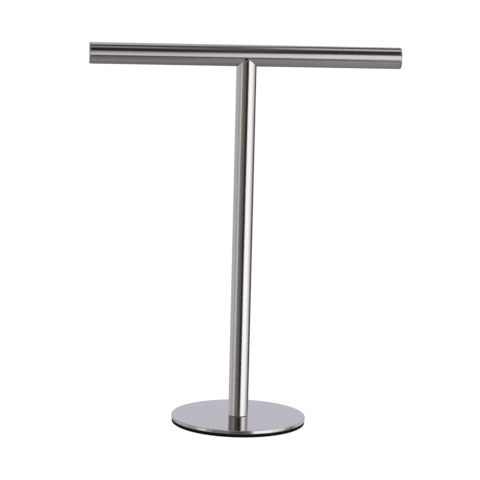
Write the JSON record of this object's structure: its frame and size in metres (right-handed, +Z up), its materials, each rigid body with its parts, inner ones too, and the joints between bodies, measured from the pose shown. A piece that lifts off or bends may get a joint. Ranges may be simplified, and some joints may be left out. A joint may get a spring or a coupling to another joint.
{
  "type": "countertop t-bar stand",
  "caption": "Free-standing T-bar stand: a round crossbar on a coped round post over a flat disc base with an anti-slip pad, clamped by a tie rod.",
  "frame": {"origin": "centre of the pad's underside, on the table and on the post's axis", "axes": "+Z up along the post, +X along the crossbar, -Y towards the viewer"},
  "size_m": [0.296, 0.13, 0.365],
  "materials": {
    "brushed_stainless": "brushed: fine lines along the tubes and across the disc, bright chamfered rim",
    "zinc_hardware": "bright zinc plating on steel, satin",
    "nylon_bush": "turned black nylon",
    "pad_rubber": "matt black rubber with a fine grain"
  },
  "bodies": {
    "base": {"base_plate": "brushed_stainless", "base_pad": "pad_rubber"},
    "mast": {"post_tube": "brushed_stainless", "crossbar_tube": "brushed_stainless", "end_cap_left": "brushed_stainless", "end_cap_right": "brushed_stainless", "saddle_nut": "zinc_hardware", "top_bush": "nylon_bush", "foot_bush": "nylon_bush", "tie_rod": "zinc_hardware", "clamp_washer": "zinc_hardware", "lock_washer": "zinc_hardware", "clamp_nut": "zinc_hardware"}
  },
  "joints": [
    {"name": "swivel", "type": "hinge", "parent": "base", "child": "mast", "pos_m": [0, 0, 0.006], "axis": [0, 0, 1], "continuous": true}
  ]
}
